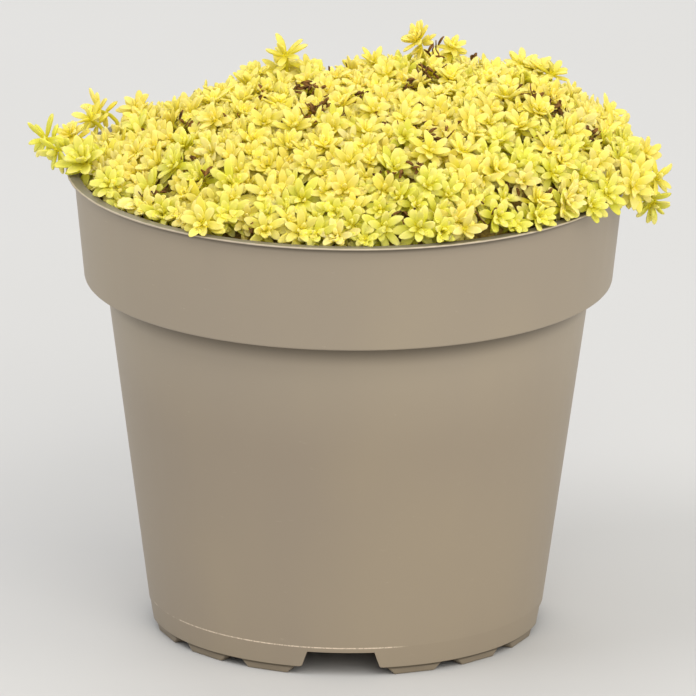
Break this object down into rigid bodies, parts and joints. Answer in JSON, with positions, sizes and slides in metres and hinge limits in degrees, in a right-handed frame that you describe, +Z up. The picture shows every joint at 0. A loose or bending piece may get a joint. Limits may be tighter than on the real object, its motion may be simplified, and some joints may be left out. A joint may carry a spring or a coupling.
{
  "type": "potted stonecrop",
  "caption": "Golden stonecrop: a low cushion of small rosettes with plump leaves, rooted in compost in a round plastic nursery pot with a collar and feet.",
  "frame": {"origin": "on the surface that the pot stands on, under the middle of the object", "axes": "+Z up, along the pot's axis; +X to the right in the picture, along the longest side; -Y towards the viewer"},
  "size_m": [0.1481, 0.13, 0.1334],
  "materials": {
    "pot": "satin taupe moulded plastic",
    "soil": "dark crumbly potting compost",
    "foliage": "plump lemon-yellow to lime leaves, softly glossy"
  },
  "bodies": {
    "root": {"pot": "pot", "soil": "soil", "tuft_01": "foliage", "tuft_02": "foliage", "tuft_03": "foliage", "tuft_04": "foliage", "tuft_05": "foliage", "tuft_06": "foliage", "tuft_07": "foliage", "tuft_08": "foliage", "tuft_09": "foliage", "tuft_10": "foliage", "tuft_11": "foliage", "tuft_12": "foliage", "tuft_13": "foliage", "tuft_14": "foliage", "tuft_15": "foliage", "tuft_16": "foliage", "tuft_17": "foliage", "tuft_18": "foliage", "tuft_19": "foliage", "tuft_20": "foliage", "tuft_21": "foliage", "tuft_22": "foliage", "tuft_23": "foliage", "tuft_24": "foliage", "tuft_25": "foliage", "tuft_26": "foliage", "tuft_27": "foliage", "tuft_28": "foliage", "tuft_29": "foliage", "tuft_30": "foliage", "tuft_31": "foliage", "tuft_32": "foliage", "tuft_33": "foliage", "tuft_34": "foliage", "tuft_35": "foliage", "tuft_36": "foliage", "tuft_37": "foliage"}
  },
  "joints": []
}
